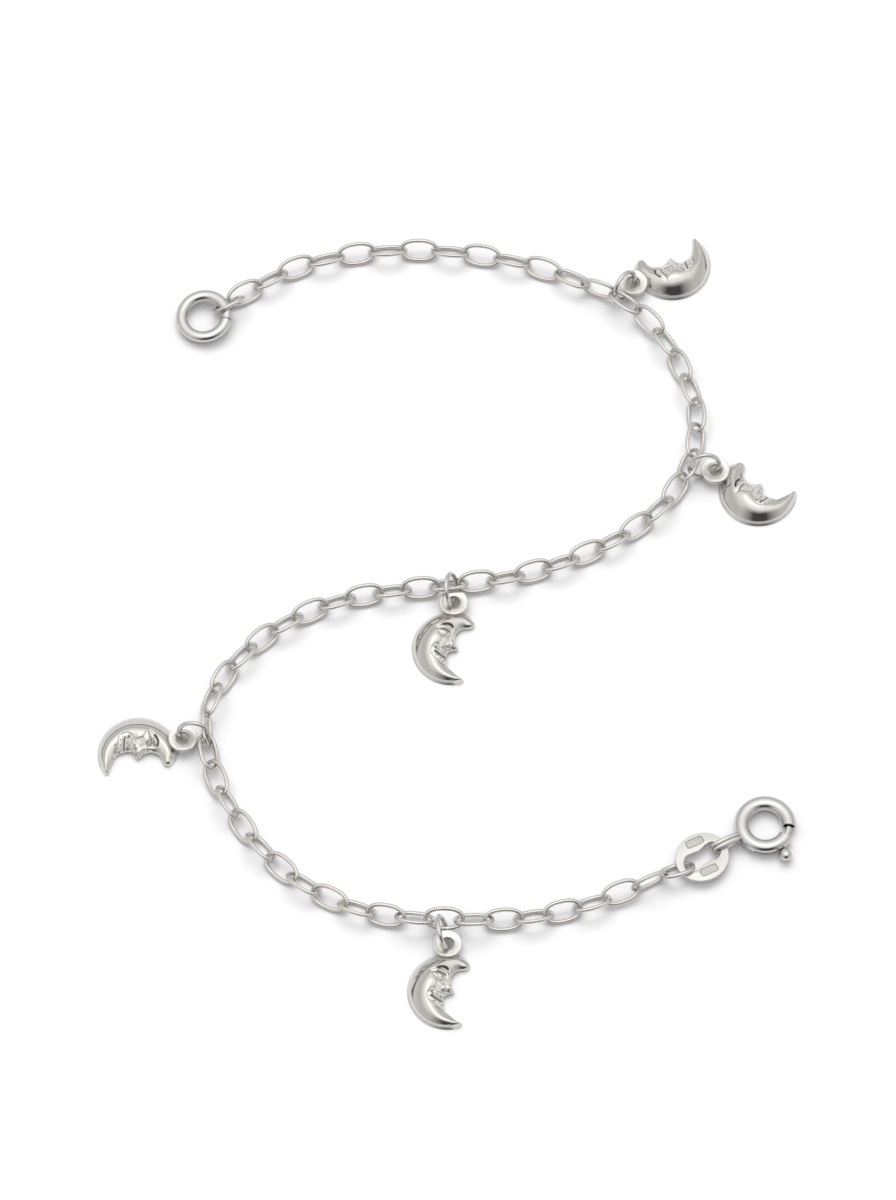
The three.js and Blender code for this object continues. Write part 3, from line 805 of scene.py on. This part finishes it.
def cast_silver():
    """Cast sterling: bright on the dome, fine-grained in hollows, and darkened with painted shade in the
    chased lines.
    """
    material, add, place = new_material("cast_sterling_silver")
    cast = add("ShaderNodeAttribute", attribute_name="as_cast").outputs["Fac"]
    line = add("ShaderNodeAttribute", attribute_name="painted_line_shade").outputs["Fac"]
    grain = add("ShaderNodeTexNoise", {"Vector": place, "Scale": 1 / CAST_GRAIN, "Detail": 3.0})
    uneven = add("ShaderNodeTexNoise", {"Vector": place, "Scale": 1 / CAST_WAVES, "Detail": 1.0})
    bright, as_cast = CAST_TONES
    skin = add("ShaderNodeMix", {0: cast, 6: bright, 7: as_cast}, data_type="RGBA").outputs[2]
    rough = add("ShaderNodeMapRange", {"Value": cast, 2: 0.5, 3: 0.07, 4: 0.28})
    grained = add("ShaderNodeMapRange", {"Value": cast, 1: 0.5, 2: 1.0})
    # The grain's deepest pits keep their oxide, which polishing doesn't reach
    pitting = add("ShaderNodeTexNoise", {"Vector": place, "Scale": 1 / CAST_PITS, "Detail": 2.0})
    pits = add("ShaderNodeMapRange", {"Value": pitting, 1: 0.34, 2: 0.48, 3: 0.62, 4: 0.0})
    pitted = add("ShaderNodeMath", [pits, grained], operation="MULTIPLY")
    # The chased lines and the mouth's pit take the same dark tone, as painted shade
    dark = add("ShaderNodeMath", [pitted, line], operation="MAXIMUM")
    depth = add("ShaderNodeMath", [grained, grain], operation="MULTIPLY")
    grainy = add("ShaderNodeBump", {"Height": depth, "Distance": 0.05 * MM, "Strength": 0.9})
    waves = {"Height": uneven, "Distance": 0.03 * MM, "Strength": 0.4, "Normal": grainy}
    finish_silver(add, dark, (skin, OXIDE_AND_PAINTED_SHADE), rough, Normal=add("ShaderNodeBump", waves))
    return material


moon = moon_body()
add_loop(moon)
moon_mesh = closed_mesh(moon, "moon")
moon_mesh.materials.append(cast_silver())
moon_mesh.shade_smooth()
moon_mesh.set_sharp_from_angle(angle=math.radians(38))

for i, degrees in enumerate(MOON_TURNS, start=1):
    mesh = moon_mesh.copy()
    mesh.transform(Matrix.Scale(MM, 4) @ Matrix.Rotation(math.radians(degrees), 4, "Z"))
    points = np.array([vertex.co for vertex in mesh.vertices])
    low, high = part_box(f"moon_charm_{i}")
    made_middle = Vector((points.min(0) + points.max(0)) / 2)
    shift = (low + high) / 2 - made_middle
    mesh.transform(Matrix.Translation((shift.x, shift.y, 0)))
    charm = show(f"man_in_the_moon_{i}", mesh)
    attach(charm, "bracelet")
    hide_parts(f"moon_charm_{i}")

# --- The end ring and its link
# The ring that the clasp snaps onto: heavy round wire bent into a ring until its two square ends meet.
# A smooth oval link of plain wire joins it to the chain.

END_RING = {
    "Radius": 2.17 * MM, "Wire": 1.14 * MM, "Start": -39.0, "Sweep": 358.0, "Steps": 180, "Sides": 32,
}
END_RING_TILT = 6.5
END_HEADING = 28
PLAIN_LINK = {**LINK_SIZES, "Ridge Depth": 0.0}
END_LINK_SIZES = {"Length": 3.4 * MM, "Width": 2.44 * MM}
# The end link is eased clear of its neighbours: rolled in degrees, moved in millimetres
END_LINK_ROLLED = (8.4, 2.3, -1.5)
END_LINK_MOVED = (-0.13, -0.09, -0.01)

low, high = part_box("end_ring")
ring_turn = Matrix.Rotation(math.radians(END_HEADING), 3, "Z")
ring_turn = ring_turn @ Matrix.Rotation(math.radians(-END_RING_TILT), 3, "Y")
end_ring = grown("end_ring_wire", wire_ring, [((low + high) / 2, ring_turn.to_euler())], END_RING, POLISHED)
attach(end_ring, "bracelet")
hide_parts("end_ring")


def heading(degrees):
    """The level direction at an angle from the x axis."""
    return Vector((math.cos(math.radians(degrees)), math.sin(math.radians(degrees)), 0))


def plain_link(name, node, sizes, towards, rolled=(0, 0, 0), moved=(0, 0, 0)):
    """A smooth oval link in the place of a CAD link, its length pointing roughly towards a heading.

    It may be rolled, in degrees about its own length, breadth and thickness, and moved, in millimetres.
    """
    middle, (along, across, _) = spread_axes(node)
    along = along if along.dot(heading(towards)) > 0 else -along
    turn = Matrix((along, across, along.cross(across))).transposed() @ turned_by(rolled)
    middle = middle + Vector(moved) * MM
    link = grown(name, oval_link, [(middle, turn.to_euler())], {**PLAIN_LINK, **sizes}, POLISHED)
    lowest = min(vertex.co.z for vertex in link.data.vertices)
    link.data.transform(Matrix.Translation((0, 0, max(0, -lowest))))
    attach(link, "bracelet")
    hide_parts(node)


plain_link("end_link_wire", "end_link", END_LINK_SIZES, END_HEADING, END_LINK_ROLLED, END_LINK_MOVED)

# --- The tag and its link
# A flat oval plate of satin-brushed sterling with an S-shaped slot, the last chain link through one end
# of the S and the clasp's eye through the other. Two small frames on it hold a plain punched pattern.

# In millimetres, and in degrees from the x axis
TAG_LENGTH = 5.15
TAG_WIDTH = 4.75
TAG_TURN = 35
TAG_EDGE = 0.07
# One half of the slot's outline; the other half is the same, turned half round
TAG_SLOT_HALF = [
    (-1.7, -0.55), (-1.45, 0.08), (-0.85, 0.38), (-0.2, 0.7), (0.3, 1.2), (0.9, 1.52), (1.5, 1.25),
]
TAG_TONES = (linear("#cfcdc8"), linear("#a5a29d"))
# How the brushed lines run, how long they are, and how many times shorter across; real ones are finer, but
# wouldn't show
BRUSHING_TURN = -25
BRUSHING = 0.9 * MM
BRUSHING_NARROWNESS = 12.0
# The two frames' middles on the tag, half of a frame's length and height, and how far apart the dots are
TAG_FRAMES = [(-0.68, 1.48), (0.63, -1.31)]
FRAME_HALF_SIZE = (0.8, 0.36)
FRAME_TURN = 25
FRAME_SQUARENESS = 6.0
DOT_PITCH = 0.25
TAG_LINK_SIZES = {"Length": 3.6 * MM, "Width": 2.3 * MM, "Wire": 0.45 * MM, "Breadth": 0.45 * MM}
TAG_LINK_HEADING = 17


def tag_plate():
    """The plate's mesh in metres, an oval with the slot as a hole and rounded edges, and its middle."""
    low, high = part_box("tag")
    middle = (low + high) / 2
    curve = bpy.data.curves.new("tag_outline", "CURVE")
    curve.dimensions = "2D"
    curve.fill_mode = "BOTH"
    curve.extrude = (high.z - low.z) / 2 / MM - TAG_EDGE
    curve.bevel_depth = TAG_EDGE
    curve.bevel_resolution = 3
    curve.offset = -TAG_EDGE
    c, s = math.cos(math.radians(TAG_TURN)), math.sin(math.radians(TAG_TURN))
    oval = []
    for angle in np.radians(np.arange(0, 360, 3)):
        u, v = TAG_LENGTH / 2 * math.cos(angle), TAG_WIDTH / 2 * math.sin(angle)
        oval.append((u * c - v * s, u * s + v * c))
    slot = TAG_SLOT_HALF + [(-x, -y) for x, y in TAG_SLOT_HALF]
    # The line runs on past its start, so it is cut where it first and last passes the slot's first point
    line = smooth_line([slot[-1]] + slot + slot[:2], 160)
    from_first = np.linalg.norm(line - np.array(slot[0]), axis=1)
    slot_line = line[np.argmin(from_first[:40]) : 80 + np.argmin(from_first[80:])]
    for outline in (oval, slot_line):
        spline = curve.splines.new("POLY")
        spline.points.add(len(outline) - 1)
        for point, (x, y) in zip(spline.points, outline):
            point.co = (x, y, 0, 1)
        spline.use_cyclic_u = True
    holder = show("tag_outline", curve)
    plate = bmesh.new()
    plate.from_mesh(evaluated_mesh(holder))
    bpy.data.objects.remove(holder)
    mesh = closed_mesh(plate, "tag_plate")
    mesh.transform(Matrix.Translation(middle) @ Matrix.Scale(MM, 4))
    return mesh, middle


def punched_frame(add, place, middle):
    """How deep a frame is at each place: a line round an oblong, its corners rounded, and dots in it."""
    lie = {"Location": middle, "Rotation": (0, 0, math.radians(FRAME_TURN)), "Scale": (MM, MM, MM)}
    at = add("ShaderNodeMapping", {"Vector": place, **lie}, vector_type="TEXTURE")
    across = add("ShaderNodeSeparateXYZ", [at]).outputs
    powers = []
    waves = []
    for axis, half_size in zip("XY", FRAME_HALF_SIZE):
        span = add("ShaderNodeMath", [across[axis]], operation="ABSOLUTE")
        part = add("ShaderNodeMath", [span, half_size], operation="DIVIDE")
        powers.append(add("ShaderNodeMath", [part, FRAME_SQUARENESS], operation="POWER"))
        turns = 2 * math.pi / DOT_PITCH
        phase = add("ShaderNodeMath", [across[axis], turns], operation="MULTIPLY")
        waves.append(add("ShaderNodeMath", [phase], operation="COSINE"))
    total = add("ShaderNodeMath", powers, operation="ADD")
    reach = add("ShaderNodeMath", [total, 1 / FRAME_SQUARENESS], operation="POWER")
    off_line = add("ShaderNodeMath", [reach, 1.0], operation="SUBTRACT")
    gap = add("ShaderNodeMath", [off_line], operation="ABSOLUTE")
    line = add("ShaderNodeMapRange", {"Value": gap, 1: 0.04, 2: 0.12, 3: 1.0, 4: 0.0})
    inside = add("ShaderNodeMapRange", {"Value": reach, 1: 0.74, 2: 0.82, 3: 1.0, 4: 0.0})
    both = add("ShaderNodeMath", waves, operation="MULTIPLY")
    dots = add("ShaderNodeMapRange", {"Value": both, 1: 0.15, 2: 0.6})
    kept = add("ShaderNodeMath", [dots, inside], operation="MULTIPLY")
    return add("ShaderNodeMath", [line, kept], operation="MAXIMUM")


def satin_silver(middle):
    """Satin-brushed sterling: an even pale grey, brushed one way, with punched dots in two frames."""
    material, add, place = new_material("satin_brushed_sterling")
    brushing = {"Rotation": (0, 0, math.radians(BRUSHING_TURN)), "Scale": (1.0, BRUSHING_NARROWNESS, 1.0)}
    brushed = add("ShaderNodeMapping", {"Vector": place, **brushing})
    hair = add("ShaderNodeTexNoise", {"Vector": brushed, "Scale": 1 / BRUSHING, "Detail": 4.0})
    frames = [punched_frame(add, place, middle + Vector((x, y, 0)) * MM) for x, y in TAG_FRAMES]
    punched = add("ShaderNodeMath", frames, operation="MAXIMUM")
    rough = add("ShaderNodeMapRange", {"Value": hair, 3: 0.29, 4: 0.39})
    stamp = {"Height": punched, "Distance": 0.04 * MM, "Strength": 0.9}
    sunk_in = add("ShaderNodeBump", stamp, invert=True)
    hairs = {"Height": hair, "Distance": 0.006 * MM, "Strength": 0.5, "Normal": sunk_in}
    finish_silver(add, punched, TAG_TONES, rough, Normal=add("ShaderNodeBump", hairs))
    return material


tag_mesh, tag_middle = tag_plate()
tag_mesh.materials.append(satin_silver(tag_middle))
tag_mesh.shade_smooth()
tag_mesh.set_sharp_from_angle(angle=math.radians(35))
tag = show("oval_tag", tag_mesh)
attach(tag, "bracelet")
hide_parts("tag")

plain_link("tag_link_wire", "tag_link", TAG_LINK_SIZES, TAG_LINK_HEADING)

# --- The spring-ring clasp
# A hollow ring drawn from sterling tube, open at a gap that a curved bolt closes. The bolt runs inside
# the tube against a spring, pulled back by a ball on a stem that stands out of a slot.

# In millimetres, and in degrees from the x axis
CLASP_RADIUS = 2.2
CLASP_TUBE = 1.38
CLASP_WALL = 0.2
CLASP_LIP = 0.04
CLASP_STEPS = 132
CLASP_SIDES = 48
# Where the gap and the slot start and end round the ring
CLASP_GAP = (-31, -3)
CLASP_SLOT = (-112, -51)
CLASP_SLOT_WIDTH = 0.34
# The bore's painted shade: two dark tones, and the size of their mottling
BORE_SHADE_TONES = (linear("#2b2927"), linear("#4c4945"))
BORE_MOTTLE = 0.4 * MM
BOLT = {"Radius": 2.2 * MM, "Wire": 0.54 * MM, "Start": -66.0, "Sweep": 72.0, "Steps": 40, "Sides": 20}
# The knob's place round the ring, its ball's radius and reach, and its stem, which ends inside the ball
KNOB_ANGLE = -58
KNOB_RADIUS = 0.62
KNOB_REACH = 3.53
KNOB_STEPS = 40
STEM_RADIUS = 0.085
STEM_END = -0.61
# The eye is one wire bent double, so two strands lie side by side
CLASP_EYE_HEADING = -153
CLASP_EYE_REACH = 4.08
CLASP_EYE_LIFT = 0.8
CLASP_EYE_SPREAD = 0.21
CLASP_EYE_STRAND = {
    **PLAIN_LINK, "Length": 3.2 * MM, "Width": 1.5 * MM, "Wire": 0.4 * MM, "Breadth": 0.44 * MM,
    "Sides": 20, "Squareness": 2.2,
}

clasp_middle = Vector(frame["joints"][0]["pos_m"])


def clasp_shell():
    """The hollow ring's skin, in metres about its middle, with its slot and its open ends."""
    shell = bmesh.new()
    start, sweep = CLASP_GAP[1], 360 + CLASP_GAP[0] - CLASP_GAP[1]
    grid = []
    for i in range(CLASP_STEPS + 1):
        angle = math.radians(start + sweep * i / CLASP_STEPS)
        ring = []
        for j in range(CLASP_SIDES):
            turn = 2 * math.pi * (j + 0.5) / CLASP_SIDES
            out, up = CLASP_RADIUS + CLASP_TUBE / 2 * math.cos(turn), CLASP_TUBE / 2 * math.sin(turn)
            ring.append(shell.verts.new((out * math.cos(angle), out * math.sin(angle), up)))
        grid.append(ring)
    for i in range(CLASP_STEPS):
        beside_slot = CLASP_SLOT[0] < start + sweep * (i + 0.5) / CLASP_STEPS - 360 < CLASP_SLOT[1]
        for j in range(CLASP_SIDES):
            turn = 2 * math.pi * (j + 1) / CLASP_SIDES
            if beside_slot and min(turn, 2 * math.pi - turn) < CLASP_SLOT_WIDTH / CLASP_TUBE:
                continue
            k = (j + 1) % CLASP_SIDES
            shell.faces.new((grid[i][j], grid[i + 1][j], grid[i + 1][k], grid[i][k]))
    loose = [v for v in shell.verts if not v.link_faces]
    bmesh.ops.delete(shell, geom=loose, context="VERTS")
    mesh = closed_mesh(shell, "clasp_shell")
    mesh.transform(Matrix.Scale(MM, 4))
    return mesh


def shaded_bore():
    """The tube's inside and the slot's cut walls: unpolished, and dark with painted shade, a little
    mottled.
    """
    material, add, place = new_material("bore_painted_shade")
    mottle = add("ShaderNodeTexNoise", {"Vector": place, "Scale": 1 / BORE_MOTTLE, "Detail": 2.0})
    finish_silver(add, mottle, BORE_SHADE_TONES, 0.55)
    return material


clasp_mesh = clasp_shell()
clasp_mesh.transform(Matrix.Translation(clasp_middle))
clasp = show("clasp_ring", clasp_mesh)
wall = clasp.modifiers.new("wall", "SOLIDIFY")
wall.thickness = CLASP_WALL * MM
wall.offset = -1
lips = clasp.modifiers.new("lips", "BEVEL")
lips.width = CLASP_LIP * MM
lips.segments = 2
lips.limit_method = "ANGLE"
lips.angle_limit = math.radians(50)
clasp.data = evaluated_mesh(clasp)
clasp.modifiers.clear()
clasp.data.materials.append(POLISHED)
clasp.data.materials.append(shaded_bore())
# The faces beside the slot that lie inside the tube's skin are its inside and its cut walls, which take the
# painted shade
for face in clasp.data.polygons:
    x, y, z = (face.center - clasp_middle) / MM
    from_tube_line = math.hypot(math.hypot(x, y) - CLASP_RADIUS, z)
    at_slot = CLASP_SLOT[0] - 2 < math.degrees(math.atan2(y, x)) < CLASP_SLOT[1] + 2
    if at_slot and from_tube_line < CLASP_TUBE / 2 - 0.03:
        face.material_index = 1
clasp.data.shade_smooth()
clasp.data.set_sharp_from_angle(angle=math.radians(40))
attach(clasp, "bracelet")
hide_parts("clasp_body")

away = heading(CLASP_EYE_HEADING)
beside = Vector((-away.y, away.x, 0)) * CLASP_EYE_SPREAD * MM
eye_middle = Vector((clasp_middle.x, clasp_middle.y, CLASP_EYE_LIFT * MM)) + CLASP_EYE_REACH * MM * away
eye_turn = Euler((math.pi / 2, 0, math.radians(CLASP_EYE_HEADING + 180)))
strands = [(eye_middle + beside, eye_turn), (eye_middle - beside, eye_turn)]
eye = grown("clasp_eye_strands", oval_link, strands, CLASP_EYE_STRAND, POLISHED)
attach(eye, "bracelet")
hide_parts("clasp_body")

bolt = grown("clasp_bolt_wire", wire_ring, [(clasp_middle, (0, 0, 0))], BOLT, POLISHED)
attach(bolt, "clasp_thumb_bolt")
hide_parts("clasp_trigger")


def knob_mesh():
    """The ball and its stem, one turned piece along the line from the bolt outwards."""
    root = CLASP_RADIUS - KNOB_REACH
    section = [(0.0, root), (STEM_RADIUS, root), (STEM_RADIUS, STEM_END)]
    # The ball's outline runs from beside the stem, in degrees from it, to the ball's far side
    for angle in np.radians(np.arange(18, 181, 9)):
        section.append((KNOB_RADIUS * math.sin(angle), -KNOB_RADIUS * math.cos(angle)))
    knob = bmesh.new()
    rings = []
    for i in range(KNOB_STEPS):
        angle = 2 * math.pi * i / KNOB_STEPS
        rings.append([knob.verts.new((h, r * math.cos(angle), r * math.sin(angle))) for r, h in section])
    for here, there in zip(rings, rings[1:] + rings[:1]):
        for j in range(len(section) - 1):
            knob.faces.new((here[j], there[j], there[j + 1], here[j + 1]))
    mesh = closed_mesh(knob, "clasp_knob")
    mesh.transform(Matrix.Translation((KNOB_REACH, 0, 0)))
    mesh.transform(Matrix.Scale(MM, 4) @ Matrix.Rotation(math.radians(KNOB_ANGLE), 4, "Z"))
    mesh.transform(Matrix.Translation(clasp_middle))
    mesh.materials.append(POLISHED)
    mesh.shade_smooth()
    return mesh


knob = show("clasp_knob", knob_mesh())
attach(knob, "clasp_thumb_bolt")
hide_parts("clasp_trigger")

# --- The sizes and the end
# The box of all that is modelled above, in metres.

low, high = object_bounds()
